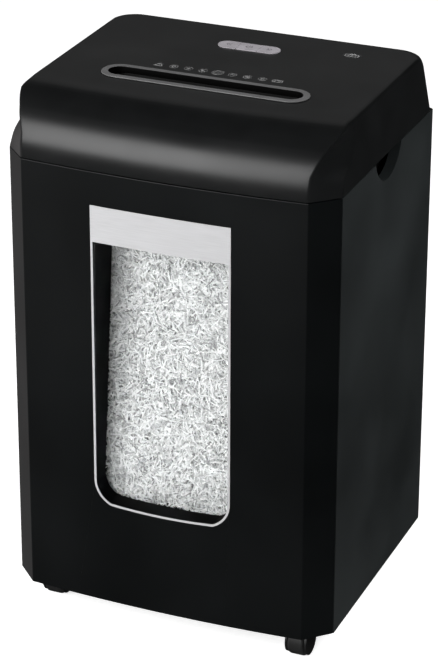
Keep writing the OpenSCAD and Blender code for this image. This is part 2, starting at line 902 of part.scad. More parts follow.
module right_frame_plate() {
    color([0.6, 0.61, 0.63]) difference() {
        translate([plate_x, plate_front_y, z_tray_top])
            cube([plate_t, plate_back_y - plate_front_y, gear_top_z - z_tray_top]);
        plate_holes(plate_x - 1, plate_out + 1);
        bar_x(axle_r, plate_x - 1, plate_out + 1, second_y, second_z);
        bar_x(axle_r, plate_x - 1, plate_out + 1, first_y, first_z);
        bar_x(axle_r + 4, plate_x - 1, plate_out + 1, motor_y, motor_z);
    }
}

module cutter_bushes() {
    color([0.7, 0.55, 0.3]) for (y = [front_y, rear_y], x = [-plate_out - 0.5, plate_x - 0.5])
        difference() {
            bar_x(bush_r, x, x + plate_t + 1, y, cut_z);
            bar_x(journal_r + run_fit, x - 1, x + plate_t + 2, y, cut_z);
        }
}

module front_timing_gear() {
    color([0.55, 0.56, 0.6])
        bored_gear_x(timing_module, timing_teeth, 0, -layer_a - gear_t, front_y, cut_z, journal_r);
}

module rear_timing_gear() {
    meshed = 180 + 180 / timing_teeth;
    color([0.55, 0.56, 0.6])
        bored_gear_x(timing_module, timing_teeth, meshed, -layer_a - gear_t, rear_y, cut_z, journal_r);
}

// ---------- drive ----------

module main_gear() {
    color([0.55, 0.56, 0.6])
        bored_gear_x(module_3, main_teeth, second_dir, layer_c, rear_y, cut_z, journal_r);
}

// Wheel and pinion in one piece that turn on a fixed axle
module idler(y, z, m_wheel, wheel_turn, x_wheel, m_pinion, pinion_turn, x_pinion) {
    color([0.86, 0.86, 0.82]) difference() {
        union() {
            gear_x(m_wheel, wheel_teeth, wheel_turn, x_wheel, y, z);
            gear_x(m_pinion, pinion_teeth, pinion_turn, x_pinion, y, z);
            bar_x(axle_r + 4, x_wheel + gear_t - 1, x_pinion + 1, y, z);
        }
        bar_x(axle_r + run_fit, x_wheel - 1, x_pinion + gear_t + 1, y, z);
    }
}

module second_gear() {
    idler(second_y, second_z, module_2, first_dir, layer_b,
        module_3, second_dir + 180 + 180 / pinion_teeth, layer_c);
}

module first_gear() {
    idler(first_y, first_z, module_1, motor_dir, layer_a,
        module_2, first_dir + 180 + 180 / pinion_teeth, layer_b);
}

module gear_axles() {
    color([0.7, 0.7, 0.72]) {
        axle(second_y, second_z, layer_b, layer_end);
        axle(first_y, first_z, layer_a, layer_b + gear_t);
    }
}

// Fixed axle in the frame plate, with a collar before its gear and a head after it
module axle(y, z, x0, x1) {
    bar_x(axle_r, plate_x, x1 + 1, y, z);
    bar_x(axle_r + 1, plate_out, x0 - 0.5, y, z);
    bar_x(axle_r + 2, x1 + 0.5, x1 + 2.5, y, z);
}

module gear_cover() {
    y0 = front_y - bush_r - 4;
    color([0.16, 0.16, 0.17]) difference() {
        translate([plate_out, y0, z_tray_top])
            cube([layer_end + 6 - plate_out, plate_back_y - y0, gear_top_z - z_tray_top]);
        translate([plate_out - 1, y0 + 2, z_tray_top + 2])
            cube([layer_end + 5 - plate_out, plate_back_y - y0 - 4, gear_top_z - z_tray_top - 4]);
    }
}

module motor_housing() {
    x0 = plate_x - motor_l;
    color([0.4, 0.41, 0.43]) difference() {
        bar_x(motor_r, x0, plate_x, motor_y, motor_z);
        bar_x(motor_r - 2, x0 + 3, plate_x - 3, motor_y, motor_z);
        bar_x(axle_r + run_fit, x0 - 1, plate_x + 1, motor_y, motor_z);
    }
}

module motor_rotor() {
    x0 = plate_x - motor_l;
    color([0.65, 0.5, 0.35]) {
        bar_x(axle_r, x0 - 12, layer_a + gear_t, motor_y, motor_z);
        bar_x(motor_r - 8, x0 + 10, plate_x - 10, motor_y, motor_z);
        gear_x(module_1, pinion_teeth, motor_dir + 180 + 180 / pinion_teeth, layer_a, motor_y, motor_z);
    }
}

module motor_fan() {
    x0 = plate_x - motor_l - 11;
    blades = 8;
    color([0.2, 0.2, 0.2]) difference() {
        union() {
            bar_x(8, x0, x0 + 9, motor_y, motor_z);
            for (i = [0:blades - 1]) translate([x0, motor_y, motor_z]) rotate([i * 360 / blades, 0, 0])
                translate([0.5, -0.8, axle_r + 2]) cube([8, 1.6, motor_r - axle_r - 7]);
        }
        bar_x(axle_r, x0 - 1, x0 + 10, motor_y, motor_z);
    }
}

// ---------- bin ----------

// Distance behind the front corner line of the pane's front face, at height z
function pane_y(z) = y_front + recess_low + recess_slope * (z - window_z0);

module bin_tub() {
    color([0.11, 0.11, 0.12]) difference() {
        translate([-tub_half, tub_front, z_tub])
            cube([2 * tub_half, tub_back - tub_front, z_tub_top - z_tub]);
        translate([-tub_half + tub_t, tub_front + tub_t, z_tub + tub_t])
            cube([2 * (tub_half - tub_t), tub_back - tub_front - 2 * tub_t, z_tub_top - z_tub]);
        along_y(tub_front - 1, tub_front + tub_t + 1) window_2d(pane_rim + tunnel_t, z_tub_top + 10);
    }
}

// Front of the bin: bowed panel with cut corners and a tunnel from the window to the tub
module bin_front() {
    y_out = y_front - front_bow - 5;
    pocket_y = y_front - front_bow + skin_t + 3;
    rib_x = window_w / 2 + 30;
    color([0.12, 0.13, 0.13]) difference() {
        union() {
            difference() {
                door_block(0, z_skirt, z_split);
                door_block(skin_t, z_skirt - 1, z_split - skin_t);
            }
            intersection() {
                along_y(y_out, y_front + recess_high + 10)
                    window_2d(pane_rim + tunnel_t, pocket_z + pane_rim + tunnel_t);
                translate([0, 0, z_skirt]) linear_extrude(cab_h) outline(1);
                along_x(-half_w, half_w) {
                    translate([y_out, z_skirt]) square([tub_front - y_out, cab_h]);
                    polygon([[y_out, z_skirt], [pane_y(z_skirt) + pane_t, z_skirt],
                        [pane_y(z_split) + pane_t, z_split], [y_out, z_split]]);
                }
            }
            for (s = [-1, 1]) translate([s * rib_x - 3, y_front - 2, z_tub + 20])
                cube([6, tub_front - y_front + 2, z_tub_top - z_tub - 40]);
        }
        along_y(y_out, y_front + recess_high + 20) window_2d(0, window_z1);
        along_y(pocket_y, y_front + recess_high + 20) window_2d(0, pocket_z);
        intersection() {
            along_y(y_front, y_front + recess_high + 20) window_2d(pane_rim, pocket_z + pane_rim);
            pane_slab(0, recess_high + 70);
        }
    }
}

// Front part of the plan as a block, moved in by inset; open at the back when inset
module door_block(inset, z0, z1) {
    y0 = y_front - front_bow - 5;
    y1 = y_door + (inset > 0 ? 1 : 0);
    translate([0, 0, z0]) linear_extrude(z1 - z0) intersection() {
        outline(inset);
        translate([-half_w, y0]) square([body_w, y1 - y0]);
    }
}

module window_pane() {
    color([0.85, 0.88, 0.9, 0.35]) intersection() {
        along_y(y_front, y_front + recess_high + 20) window_2d(pane_rim, pocket_z + pane_rim);
        pane_slab(0, pane_t);
    }
}

// Leaning slab behind the pane's front face, from near to far
module pane_slab(near, far) {
    along_x(-half_w, half_w) polygon([
        [pane_y(z_skirt) + near, z_skirt], [pane_y(z_skirt) + far, z_skirt],
        [pane_y(z_split) + far, z_split], [pane_y(z_split) + near, z_split]]);
}

// Thin bright trim round the sides and lower edge of the window
module window_frame() {
    color([0.75, 0.75, 0.76]) intersection() {
        front_layer(0, badge_t * 0.8, z_skirt, window_z1);
        along_y(y_front - front_bow - 5, y_front) difference() {
            window_2d(trim_w, window_z1);
            window_2d(0, window_z1 + 1);
        }
    }
}

// Blank plate above the window
module badge_plate() {
    w = window_w + 2 * trim_w;
    color([0.8, 0.8, 0.81]) intersection() {
        front_layer(0, badge_t, window_z1, window_z1 + badge_h);
        translate([-w / 2, y_front - front_bow - 5, window_z1]) cube([w, front_bow + 5, badge_h]);
    }
}

// Heap of cut paper: fills the tub, and the window recess up to the pane
module shredded_paper() {
    top = window_z1 - 6;
    z0 = z_tub + tub_t + heap_gap;
    y0 = tub_front + tub_t + heap_gap;
    y1 = tub_back - tub_t - heap_gap;
    half = tub_half - tub_t - heap_gap;
    color([0.93, 0.93, 0.93]) {
        along_x(-half, half) polygon([[y0, z0], [y1, z0], [y1, heap_back_z], [y0, top - 8]]);
        intersection() {
            along_y(y_front, y0 + 2) window_2d(-heap_gap, top);
            pane_slab(pane_t + heap_gap, 80);
        }
    }
}

module bin_magnet() {
    color([0.3, 0.3, 0.32]) translate([magnet_x, tub_back - tub_t - 6, z_tub_top - 12]) cube([16, 6, 12]);
}

// ---------- casters ----------

// Fork with its stem, top plate, two cheeks and axle; the wheel lies towards -Y before the turn
module caster_fork(x, y, turn) {
    inner = wheel_w / 2 + cheek_gap;
    half = inner + cheek_t;
    reach = 9;
    plate_z = wheel_d + 2;
    color([0.1, 0.1, 0.1]) translate([x, y, 0]) rotate(turn) {
        cylinder_at(stem_r, fork_top - 1, z_base_top - 1);
        translate([-half, -trail - reach, plate_z]) cube([2 * half, trail + 2 * reach, fork_top - plate_z]);
        for (x0 = [-half, inner]) along_x(x0, x0 + cheek_t) {
            translate([-trail, wheel_r]) circle(r = wheel_r - 1.5, $fn = 96);
            polygon([[-trail - reach, wheel_r], [reach - 4, wheel_r],
                [reach, fork_top - 1], [-trail - reach, fork_top - 1]]);
        }
        bar_x(axle_pin_r, -half, half, -trail, wheel_r);
    }
}

module cylinder_at(r, z0, z1) {
    translate([0, 0, z0]) cylinder(r = r, h = z1 - z0, $fn = 64);
}

// Wheel of a caster, with rounded shoulders
module caster_wheel(x, y, turn) {
    round_r = 3;
    color([0.16, 0.16, 0.16]) translate([x, y, 0]) rotate(turn)
        translate([-wheel_w / 2, -trail, wheel_r]) rotate([0, 90, 0]) rotate_extrude($fn = 96) difference() {
            union() {
                square([wheel_r - round_r, wheel_w]);
                translate([0, round_r]) square([wheel_r, wheel_w - 2 * round_r]);
                for (z = [round_r, wheel_w - round_r])
                    translate([wheel_r - round_r, z]) circle(r = round_r, $fn = 48);
            }
            translate([-1, -1]) square([axle_pin_r + run_fit + 1, wheel_w + 2]);
        }
}

module caster_fl_fork() {
    caster_fork(-caster_x, caster_front_y, 180);
}

module caster_fr_fork() {
    caster_fork(caster_x, caster_front_y, 0);
}

module caster_rl_fork() {
    caster_fork(-caster_x, caster_rear_y, rear_turn_l);
}

module caster_rr_fork() {
    caster_fork(caster_x, caster_rear_y, rear_turn_r);
}

module caster_fl_wheel() {
    caster_wheel(-caster_x, caster_front_y, 180);
}

module caster_fr_wheel() {
    caster_wheel(caster_x, caster_front_y, 0);
}

module caster_rl_wheel() {
    caster_wheel(-caster_x, caster_rear_y, rear_turn_l);
}

module caster_rr_wheel() {
    caster_wheel(caster_x, caster_rear_y, rear_turn_r);
}

side_panel_left();
side_panel_right();
back_panel();
base_board();
bin_runner_left();
bin_runner_right();
caster_sleeves();
housing_screws();
head_cover();
head_base();
slot_bezel();
feed_chute();
button_guide();
status_lenses();
status_lamp();
control_board();
tact_switches();
main_board();
power_entry();
exhaust_grille();
paper_sensor();
left_frame_plate();
right_frame_plate();
tie_rods();
front_stripper();
rear_stripper();
cutter_bushes();
motor_housing();
gear_axles();
gear_cover();
reed_switch();
front_cutter();
rear_cutter();
front_timing_gear();
rear_timing_gear();
main_gear();
second_gear();
first_gear();
motor_rotor();
motor_fan();
reverse_button();
power_button();
forward_button();
main_switch();
sensor_lever();
bin_tub();
bin_front();
window_pane();
window_frame();
badge_plate();
shredded_paper();
bin_magnet();
caster_fl_fork();
caster_fr_fork();
caster_rl_fork();
caster_rr_fork();
caster_fl_wheel();
caster_fr_wheel();
caster_rl_wheel();
caster_rr_wheel();
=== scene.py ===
"""Looks of an upright paper shredder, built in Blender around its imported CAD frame."""

import json
import math
import random

import bmesh
import bpy
from mathutils import Matrix, Vector, noise


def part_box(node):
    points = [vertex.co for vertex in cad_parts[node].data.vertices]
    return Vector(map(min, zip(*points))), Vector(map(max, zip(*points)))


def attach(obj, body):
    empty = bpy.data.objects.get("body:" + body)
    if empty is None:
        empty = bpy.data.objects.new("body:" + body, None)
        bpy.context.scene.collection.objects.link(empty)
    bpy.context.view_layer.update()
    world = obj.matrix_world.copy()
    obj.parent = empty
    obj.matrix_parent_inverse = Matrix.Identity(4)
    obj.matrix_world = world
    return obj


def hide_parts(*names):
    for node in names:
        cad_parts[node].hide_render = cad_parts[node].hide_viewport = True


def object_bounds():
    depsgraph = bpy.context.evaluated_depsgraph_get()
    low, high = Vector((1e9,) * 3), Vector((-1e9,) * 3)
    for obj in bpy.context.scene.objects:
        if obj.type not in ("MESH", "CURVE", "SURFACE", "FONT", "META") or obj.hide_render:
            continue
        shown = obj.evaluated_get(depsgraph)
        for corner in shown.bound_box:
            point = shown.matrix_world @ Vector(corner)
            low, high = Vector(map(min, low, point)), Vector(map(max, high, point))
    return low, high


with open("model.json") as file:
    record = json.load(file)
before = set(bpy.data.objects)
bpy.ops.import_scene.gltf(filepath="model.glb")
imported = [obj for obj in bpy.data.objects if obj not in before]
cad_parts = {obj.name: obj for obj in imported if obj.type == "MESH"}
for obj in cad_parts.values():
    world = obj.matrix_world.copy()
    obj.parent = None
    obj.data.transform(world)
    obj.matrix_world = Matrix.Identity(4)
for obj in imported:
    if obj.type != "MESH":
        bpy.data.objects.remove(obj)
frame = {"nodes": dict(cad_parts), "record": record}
cad_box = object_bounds()
nodes = frame["nodes"]

MM = 0.001


# ---------- camera, lights and floor ----------

CAMERA_AT = (1.1216, -2.6824, 1.6785)
CAMERA_TURN = math.radians(23.03)
CAMERA_DOWN = math.radians(23.89)
CAMERA_LENS = 149.0
CAMERA_SHIFT = (0.0251, -0.0894)
STUDIO_DARK = (0.01, 0.01, 0.01)
STUDIO_BRIGHT = (0.45, 0.43, 0.43)
# Share of -X in a direction where the studio starts to brighten, and where it is brightest
STUDIO_WALL = (0.55, 0.9)
FLOOR_HALF = 12
BACKDROP_RADIUS = 30


def make_camera():
    data = bpy.data.cameras.new("camera")
    data.sensor_width = 36
    data.lens = CAMERA_LENS
    data.shift_x, data.shift_y = CAMERA_SHIFT
    data.clip_end = 50
    camera = bpy.data.objects.new("camera", data)
    camera.location = CAMERA_AT
    camera.rotation_euler = (math.pi / 2 - CAMERA_DOWN, 0, CAMERA_TURN)
    bpy.context.scene.collection.objects.link(camera)
    bpy.context.scene.camera = camera


def area_light(name, direction, distance, size, power, mirrored=True):
    """A rectangular softbox that faces the middle of the machine; mirrored ones show in gloss."""
    target = (cad_box[0] + cad_box[1]) / 2
    data = bpy.data.lights.new(name, "AREA")
    data.shape = "RECTANGLE"
    data.size, data.size_y = size
    data.energy = power
    light = bpy.data.objects.new(name, data)
    towards = Vector(direction).normalized()
    light.location = target + towards * distance
    light.rotation_euler = towards.to_track_quat("Z", "Y").to_euler()
    light.visible_glossy = mirrored
    bpy.context.scene.collection.objects.link(light)


def make_world():
    """A dark studio with one bright wall, far out at -X."""
    world = bpy.data.worlds.new("studio")
    bpy.context.scene.world = world
    world.use_nodes = True
    tree = world.node_tree
    coords = tree.nodes.new("ShaderNodeTexCoord")
    split = tree.nodes.new("ShaderNodeSeparateXYZ")
    turned = tree.nodes.new("ShaderNodeMath")
    turned.operation = "MULTIPLY"
    turned.inputs[1].default_value = -1
    ramp = tree.nodes.new("ShaderNodeValToRGB")
    tree.links.new(coords.outputs["Generated"], split.inputs[0])
    tree.links.new(split.outputs["X"], turned.inputs[0])
    tree.links.new(turned.outputs[0], ramp.inputs[0])
    tree.links.new(ramp.outputs[0], tree.nodes["Background"].inputs["Color"])
    ramp.color_ramp.elements[0].position = STUDIO_WALL[0]
    ramp.color_ramp.elements[0].color = (*STUDIO_DARK, 1)
    ramp.color_ramp.elements[1].position = STUDIO_WALL[1]
    ramp.color_ramp.elements[1].color = (*STUDIO_BRIGHT, 1)


def make_floor():
    """A white floor that doesn't show in gloss."""
    half = FLOOR_HALF
    mesh = bpy.data.meshes.new("floor")
    corners = [(-half, -half, 0), (half, -half, 0), (half, half, 0), (-half, half, 0)]
    mesh.from_pydata(corners, [], [(0, 1, 2, 3)])
    floor = bpy.data.objects.new("floor", mesh)
    bpy.context.scene.collection.objects.link(floor)
    mesh.materials.append(plain_material("floor_white", (0.9, 0.9, 0.9), 0.9, glow=0.7))
    floor.visible_glossy = False


def make_backdrop():
    """A white dome all round, seen by the camera only."""
    work = bmesh.new()
    bmesh.ops.create_icosphere(work, subdivisions=4, radius=BACKDROP_RADIUS)
    mesh = bpy.data.meshes.new("backdrop")
    work.to_mesh(mesh)
    work.free()
    backdrop = bpy.data.objects.new("backdrop", mesh)
    bpy.context.scene.collection.objects.link(backdrop)
    mesh.materials.append(plain_material("backdrop_white", (0, 0, 0), 1.0, glow=1.0))
    backdrop.visible_glossy = False
    backdrop.visible_diffuse = False
    backdrop.visible_transmission = False
    backdrop.visible_shadow = False


# ---------- materials ----------

def plain_material(name, color, roughness, glow):
    """Matt material with no gloss and an even white glow."""
    material = bpy.data.materials.new(name)
    material.use_nodes = True
    shader = material.node_tree.nodes["Principled BSDF"]
    shader.inputs["Base Color"].default_value = (*color, 1)
    shader.inputs["Roughness"].default_value = roughness
    shader.inputs["Specular IOR Level"].default_value = 0.0
    shader.inputs["Emission Color"].default_value = (1, 1, 1, 1)
    shader.inputs["Emission Strength"].default_value = glow
    return material


# The part of a noise's range over which one value blends into the other
BLEND = (0.3, 0.7)


class Surface:
    """Builds one procedural material step by step; positions are the machine's own."""

    def __init__(self, name, color, roughness, specular=0.5, metallic=0.0):
        self.material = bpy.data.materials.new(name)
        self.material.use_nodes = True
        self.tree = self.material.node_tree
        self.shader = self.tree.nodes["Principled BSDF"]
        self.color = color
        self.shader.inputs["Base Color"].default_value = (*color, 1)
        self.shader.inputs["Roughness"].default_value = roughness
        self.shader.inputs["Specular IOR Level"].default_value = specular
        self.shader.inputs["Metallic"].default_value = metallic
        coords = self.tree.nodes.new("ShaderNodeTexCoord")
        self.place = coords.outputs["Object"]

    def noise(self, scale, detail, stretch):
        mapping = self.tree.nodes.new("ShaderNodeMapping")
        mapping.inputs["Scale"].default_value = stretch
        texture = self.tree.nodes.new("ShaderNodeTexNoise")
        texture.inputs["Scale"].default_value = scale
        texture.inputs["Detail"].default_value = detail
        self.tree.links.new(self.place, mapping.inputs["Vector"])
        self.tree.links.new(mapping.outputs[0], texture.inputs["Vector"])
        return texture.outputs["Fac"]

    def ramp(self, source, low, high):
        node = self.tree.nodes.new("ShaderNodeValToRGB")
        node.color_ramp.elements[0].position = BLEND[0]
        node.color_ramp.elements[0].color = (*low, 1)
        node.color_ramp.elements[1].position = BLEND[1]
        node.color_ramp.elements[1].color = (*high, 1)
        self.tree.links.new(source, node.inputs[0])
        return node.outputs[0]

    def mottle(self, scale, amount, stretch=(1, 1, 1)):
        """The colour wanders between darker and lighter by amount, at the given scale."""
        low = [c * (1 - amount) for c in self.color]
        high = [min(1, c * (1 + amount)) for c in self.color]
        color = self.ramp(self.noise(scale, 4, stretch), low, high)
        self.tree.links.new(color, self.shader.inputs["Base Color"])
        return self

    def patchy_gloss(self, scale, low, high, stretch=(1, 1, 1)):
        """Roughness wanders between low and high."""
        value = self.ramp(self.noise(scale, 2, stretch), (low,) * 3, (high,) * 3)
        self.tree.links.new(value, self.shader.inputs["Roughness"])
        return self

    def grain(self, scale, depth, stretch=(1, 1, 1)):
        """Fine relief of the given depth in metres."""
        bump = self.tree.nodes.new("ShaderNodeBump")
        bump.inputs["Distance"].default_value = depth
        bump.inputs["Strength"].default_value = 1.0
        self.tree.links.new(self.noise(scale, 2, stretch), bump.inputs["Height"])
        self.tree.links.new(bump.outputs[0], self.shader.inputs["Normal"])
        return self


def head_material():
    return Surface("head_shell", (0.0058, 0.0062, 0.0064), 0.3, 0.3) \
        .mottle(30, 0.15).patchy_gloss(9, 0.27, 0.34).grain(2600, 0.00002).material


def panel_material(name, color, specular, low, high):
    return Surface(name, color, 0.5, specular) \
        .mottle(6, 0.35).patchy_gloss(5, low, high).grain(1900, 0.00003).material


def moulded_material(name, color, roughness, specular=0.4):
    return Surface(name, color, roughness, specular) \
        .mottle(60, 0.12).patchy_gloss(40, roughness - 0.06, roughness + 0.06) \
        .grain(1500, 0.00003).material


def steel_material(name, color, roughness, stretch):
    """Brushed metal; its marks run along the axis with the smallest stretch."""
    return Surface(name, color, roughness, 0.5, 1.0) \
        .mottle(900, 0.12, stretch).patchy_gloss(500, roughness - 0.07, roughness + 0.1, stretch) \
        .grain(1200, 0.000012, stretch).material


def trim_material():
    """Silver paint with a fine brushed grain along X."""
    brushed = (0.03, 1, 1)
    return Surface("bright_trim", (0.5, 0.5, 0.51), 0.38, 0.5, 0.25) \
        .mottle(900, 0.05, brushed).patchy_gloss(500, 0.34, 0.44, brushed) \
        .grain(1200, 0.000008, brushed).material


def paper_material(name, shade):
    return Surface(name, (shade, shade, shade), 0.85, 0.2) \
        .mottle(180, 0.07).grain(900, 0.00008).material


def pane_material():
    surface = Surface("window_clear", (0.97, 0.98, 0.98), 0.03, 0.5).patchy_gloss(12, 0.02, 0.05)
    surface.shader.inputs["Transmission Weight"].default_value = 1.0
    surface.shader.inputs["IOR"].default_value = 1.2
    return surface.material


def board_material():
    return Surface("circuit_board", (0.015, 0.09, 0.035), 0.4, 0.5) \
        .mottle(350, 0.5, (1, 0.15, 1)).grain(500, 0.0001).material


def make_materials():
    made = {
        "head_shell": head_material(),
        "cabinet_board": panel_material("cabinet_board", (0.016, 0.0185, 0.019), 0.25, 0.5, 0.6),
        "front_panel": panel_material("front_panel", (0.0022, 0.0028, 0.003), 0.22, 0.36, 0.46),
        "dark_moulding": moulded_material("dark_moulding", (0.004, 0.004, 0.004), 0.5, 0.12),
        "bezel_grey": moulded_material("bezel_grey", (0.13, 0.13, 0.132), 0.38),
        "key_grey": moulded_material("key_grey", (0.42, 0.4, 0.43), 0.4),
        "switch_black": moulded_material("switch_black", (0.012, 0.012, 0.012), 0.25),
        "lens": moulded_material("lens", (0.012, 0.013, 0.014), 0.22),
        "circuit_board": board_material(),
        "small_parts": moulded_material("small_parts", (0.12, 0.12, 0.13), 0.4),
        "plate_steel": steel_material("plate_steel", (0.55, 0.56, 0.58), 0.34, (1, 1, 0.06)),
        "cutter_steel": steel_material("cutter_steel", (0.4, 0.4, 0.42), 0.32, (1, 1, 1)),
        "comb_steel": steel_material("comb_steel", (0.33, 0.33, 0.34), 0.4, (0.06, 1, 1)),
        "bush_bronze": steel_material("bush_bronze", (0.55, 0.38, 0.18), 0.4, (1, 1, 1)),
        "gear_steel": steel_material("gear_steel", (0.45, 0.45, 0.47), 0.35, (0.1, 1, 1)),
        "gear_nylon": moulded_material("gear_nylon", (0.72, 0.7, 0.62), 0.45),
        "motor_can": moulded_material("motor_can", (0.05, 0.052, 0.055), 0.35),
        "motor_core": steel_material("motor_core", (0.45, 0.3, 0.18), 0.4, (1, 0.2, 0.2)),
        "fan_black": moulded_material("fan_black", (0.02, 0.02, 0.02), 0.45),
        "lever_grey": moulded_material("lever_grey", (0.3, 0.3, 0.29), 0.45),
        "window_clear": pane_material(),
        "bright_trim": trim_material(),
        "shreds": paper_material("shreds", 0.97),
        "caster_nylon": moulded_material("caster_nylon", (0.007, 0.007, 0.007), 0.42),
        "wheel_nylon": moulded_material("wheel_nylon", (0.011, 0.011, 0.011), 0.5),
    }
    # Near-black, barely glossy plastic: painted shade on the bezel's throat and in the bin front's recess
    made["painted_shade_black"] = moulded_material("painted_shade_black", (0.001, 0.001, 0.001), 0.6, 0.05)
    # Darker copies of the white paper, painted shade: some strips and the heap's core stand in for paper
    # in shade
    made["shreds_mid"] = paper_material("shreds_mid", 0.68)
    made["shreds_dim"] = paper_material("shreds_dim", 0.4)
    made["print_grey"] = moulded_material("print_grey", (0.36, 0.36, 0.36), 0.6)
    made["print_dark"] = moulded_material("print_dark", (0.07, 0.065, 0.075), 0.6)
    return made


# ---------- CAD nodes ----------

# Bevels of the edges in plain sight, in millimetres
SOFT_EDGES = {
    "bin_front": 1.0, "side_panel_left": 0.5, "side_panel_right": 0.5,
    "slot_bezel": 0.7, "reverse_button": 0.7, "power_button": 0.7, "forward_button": 0.7,
    "badge_plate": 0.25, "window_frame": 0.3, "exhaust_grille": 0.4, "power_entry": 0.5,
    "main_switch": 0.5, "bin_tub": 0.5, "base_board": 0.5, "back_panel": 0.5, "head_base": 0.5,
}
CASTER_EDGE = 0.2
EDGE_ANGLE = math.radians(35)
# The bezel is painted near-black below this height above the deck, and the bin's front behind this depth
# and
# within this half width: painted shade in the slot's throat and the recess
BEZEL_BLACK = 0.3 * MM
RECESS_START_Y = -161 * MM
RECESS_HALF = 90 * MM


def dress_nodes(made):
    """Gives each CAD node its material, rounds the edges of those in plain sight, and paints shade
    near-black into the bezel's throat and the bin front's recess.
    """
    slots = {row["node"]: row["material_slot"] for row in frame["record"]["subparts"]}
    for name, node in nodes.items():
        node.data.materials.clear()
        node.data.materials.append(made[slots[name]])
        radius = SOFT_EDGES.get(name, CASTER_EDGE if name.startswith("caster") else 0)
        if radius:
            round_edges(node, radius * MM)
    # The near-black on the bezel's throat and the bin front's recess walls is painted shade
    second_material("slot_bezel", made["painted_shade_black"], below_deck)
    second_material("bin_front", made["painted_shade_black"], in_recess)


def below_deck(place):
    """Whether a place on the bezel is lower than its raised rim, in the throat that gets painted shade.
    """
    return place.z < HEAD_TOP + BEZEL_BLACK


def in_recess(place):
    """Whether a place on the bin's front is behind its face and as near the middle as the recess, whose
    walls get painted shade.
    """
    return place.y > RECESS_START_Y and abs(place.x) < RECESS_HALF


def second_material(name, material, chosen):
    """Gives a node's faces another material where chosen() holds for the middle of the face."""
    mesh = nodes[name].data
    mesh.materials.append(material)
    for face in mesh.polygons:
        if chosen(face.center):
            face.material_index = 1


def round_edges(obj, radius):
    """Small bevels on an object's sharp edges, and even shading."""
    weld = obj.modifiers.new("weld", "WELD")
    weld.merge_threshold = 0.00001
    bevel = obj.modifiers.new("bevel", "BEVEL")
    bevel.width = radius
    bevel.segments = 3
    bevel.limit_method = "ANGLE"
    bevel.angle_limit = EDGE_ANGLE
    bevel.use_clamp_overlap = True
    shade = obj.modifiers.new("shade", "WEIGHTED_NORMAL")
    shade.keep_sharp = True
    for face in obj.data.polygons:
        face.use_smooth = True


# ---------- small shapes ----------

def new_piece(name, verts, faces, material, body, replaces=()):
    """A mesh object that rides on a body, and stands in for the nodes in replaces."""
    mesh = bpy.data.meshes.new(name)
    mesh.from_pydata(verts, [], faces)
    mesh.validate()
    mesh.update()
    mesh.materials.append(material)
    piece = bpy.data.objects.new(name, mesh)
    bpy.context.scene.collection.objects.link(piece)
    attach(piece, body)
    if replaces:
        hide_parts(*replaces)
    return piece


class Lines:
    """Flat raised line work on a level surface: each stroke is a closed bar."""

    def __init__(self, z, width, height):
        self.verts, self.faces = [], []
        self.z, self.width, self.height = z, width, height

    def stroke(self, a, b):
        a, b = Vector(a), Vector(b)
        along = (b - a).normalized() * self.width / 2
        side = Vector((-along.y, along.x))
        start = len(self.verts)
        for z in (self.z - self.height, self.z + self.height):
            for corner in (a - along - side, b + along - side, b + along + side, a - along + side):
                self.verts.append((corner.x, corner.y, z))
        quads = [(3, 2, 1, 0), (4, 5, 6, 7), (0, 1, 5, 4), (1, 2, 6, 5), (2, 3, 7, 6), (3, 0, 4, 7)]
        self.faces += [tuple(start + i for i in quad) for quad in quads]

    def path(self, points, closed=False):
        ends = points[1:] + points[:1] if closed else points[1:]
        for a, b in zip(points, ends):
            self.stroke(a, b)

    def ring(self, centre, radius, steps=28, start=0.0, sweep=2 * math.pi):
        full = sweep >= 2 * math.pi
        count = steps if full else steps + 1
        turns = [start + sweep * i / steps for i in range(count)]
        points = [(centre[0] + radius * math.cos(t), centre[1] + radius * math.sin(t)) for t in turns]
        self.path(points, closed=full)

    def piece(self, name, material, body, slot):
        return new_piece(name, self.verts, self.faces, material, body)


def middle(box):
    """Middle of a (low corner, high corner) box."""
    return (box[0] + box[1]) / 2


# ---------- status lenses ----------

LENS_RADIUS = 5.5 * MM
MIDDLE_LENS = 15 * MM
# What each lens shows, from left to right
SYMBOLS = ["triangle", "sheet", "clip", "bar", "disc", "wave", "star", "bin", "card"]


def lens_centres():
    """Centres of the row of status lenses, and their height, from the node's own box."""
    low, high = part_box("status_lenses")
    first, last = low.x + LENS_RADIUS, high.x - LENS_RADIUS
    y = (low.y + high.y) / 2
    steps = len(SYMBOLS) - 1
    return [(first + (last - first) * i / steps, y) for i in range(steps + 1)], high.z


# ---------- head cover ----------

HEAD_LOW = 567.2 * MM
HEAD_TOP = 637.2 * MM
HALF_WIDTH = 196.5 * MM
FRONT_CORNER_Y = -157.5 * MM
FRONT_BOW = 7.5 * MM
CORNER_CUT = 28 * MM
REAR_Y = 166 * MM
SHELL = 3 * MM
FRONT_ROUND = 66 * MM
SIDE_LEAN = 7.8 * MM
SIDE_EDGE = 5 * MM
REAR_EDGE = 18 * MM
REAR_CORNER = (12 * MM, 28 * MM)
CREASE = 3 * MM
# Where the cut corner meets the front (height, x) and the side (height, y), in millimetres,
# with the heights above the cover's lower edge
CORNER_FRONT_X = [(0, 168.5), (27, 170), (38, 174), (52, 180), (65, 188), (70, 190)]
CORNER_SIDE_Y = [(0, -129.5), (14, -123), (21, -115), (27, -98), (35, -86), (43, -79), (70, -78)]
# Points along each stretch of the cover's plan
FRONT_STEPS = 40
CREASE_STEPS = 5
BAND_STEPS = 6
SIDE_STEPS = 16
TURN_STEPS = 12
SLOT_HOLE = (234 * MM, 30 * MM)
BUTTON_HOLE = (75.8 * MM, 22.8 * MM)
# Holes in the rear wall for the mains inlet, main switch and grille: x, width and height
REAR_HOLES = [(-120 * MM, 27 * MM, 20 * MM), (-70 * MM, 22 * MM, 14 * MM), (60 * MM, 130 * MM, 34 * MM)]
REAR_HOLES_Z = 601.2 * MM
